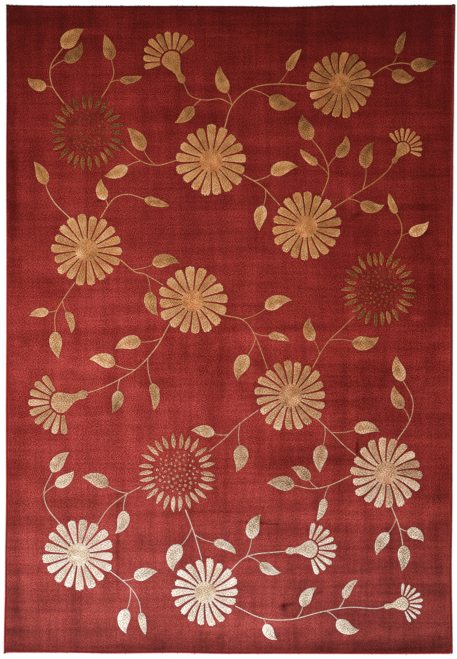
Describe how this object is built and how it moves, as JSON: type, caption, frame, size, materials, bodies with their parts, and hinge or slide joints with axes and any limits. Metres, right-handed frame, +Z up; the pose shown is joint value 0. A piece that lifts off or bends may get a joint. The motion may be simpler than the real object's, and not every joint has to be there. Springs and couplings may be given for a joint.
{
  "type": "wool rug",
  "caption": "Flat rectangular pile rug in red wool with inlaid pale flowers, its sides and ends bound in wool, for laying on a floor.",
  "frame": {"origin": "on the floor, at the centre of the rug's footprint", "axes": "+X across the width, +Y along the length towards the head end, +Z up out of the pile"},
  "size_m": [1.869, 2.688, 0.011],
  "materials": {
    "wool_pile": "cut wool pile, madder red, matt with a soft nap",
    "wool_binding": "overcast wool yarn, brighter red",
    "silk_motif": "cut silk pile, old gold to ivory, low sheen"
  },
  "bodies": {
    "root": {"rug_field": "wool_pile", "selvedge_left": "wool_binding", "selvedge_right": "wool_binding", "end_binding_head": "wool_binding", "end_binding_foot": "wool_binding"}
  },
  "joints": []
}
